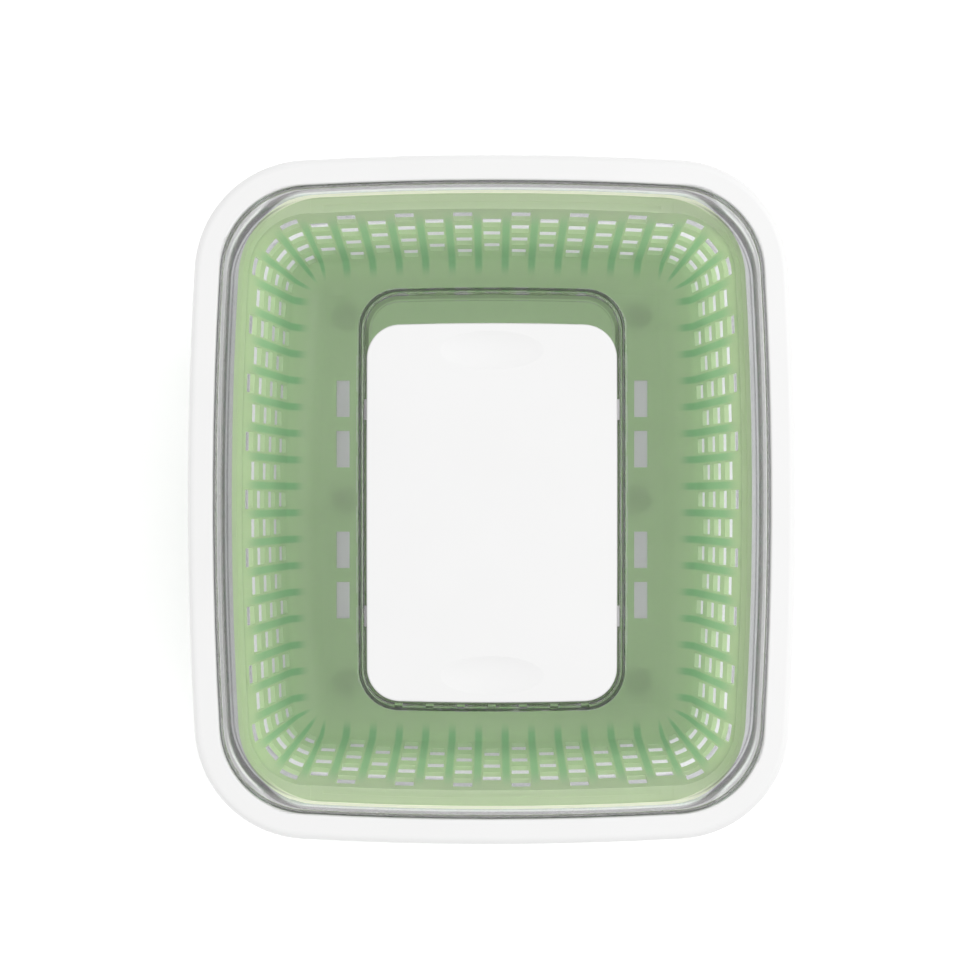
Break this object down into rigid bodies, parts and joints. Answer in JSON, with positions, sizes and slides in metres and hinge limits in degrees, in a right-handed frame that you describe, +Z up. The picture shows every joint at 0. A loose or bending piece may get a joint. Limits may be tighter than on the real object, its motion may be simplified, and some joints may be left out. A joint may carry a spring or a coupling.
{
  "type": "produce storage container",
  "caption": "Clear food bin with a slotted green basket inside and a white-rimmed lid with a sliding vent cover and a filter holder.",
  "frame": {"origin": "middle of the bounding box, at the surface that the bin stands on", "axes": "+Z up, +Y along the lid's length towards the end to which the vent's cover slides open, +X to the right seen from above"},
  "size_m": [0.2348, 0.266, 0.16],
  "materials": {
    "clear_plastic": "clear, glossy, moulded",
    "green_plastic": "translucent, softly glossy, moulded",
    "white_plastic": "satin, moulded",
    "silicone": "soft, frosted, translucent",
    "pouch_fabric": "fine non-woven",
    "carbon_felt": "black felt"
  },
  "bodies": {
    "container": {"container_bin": "clear_plastic"},
    "basket": {"basket": "green_plastic", "basket_feet": "green_plastic"},
    "lid": {"lid_rim": "white_plastic", "lid_window": "clear_plastic", "lid_seal": "silicone", "filter_frame": "white_plastic"},
    "vent_cover": {"vent_slider": "white_plastic", "vent_shutter": "clear_plastic", "vent_seal": "silicone"},
    "filter_door": {"filter_door": "white_plastic", "filter_pouch": "pouch_fabric", "carbon_pad": "carbon_felt"}
  },
  "joints": [
    {"name": "basket_lift", "type": "slide", "parent": "container", "child": "basket", "axis": [0, 0, 1], "range_m": [0, 0.16]},
    {"name": "lid_lift", "type": "slide", "parent": "basket", "child": "lid", "axis": [0, 0, 1], "range_m": [0, 0.13]},
    {"name": "vent_slide", "type": "slide", "parent": "lid", "child": "vent_cover", "axis": [0, 1, 0], "range_m": [0, 0.01]},
    {"name": "filter_door_hinge", "type": "hinge", "parent": "lid", "child": "filter_door", "pos_m": [-0.0455, -0.005, 0.1372], "axis": [0, 1, 0], "range_deg": [0, 90]}
  ]
}
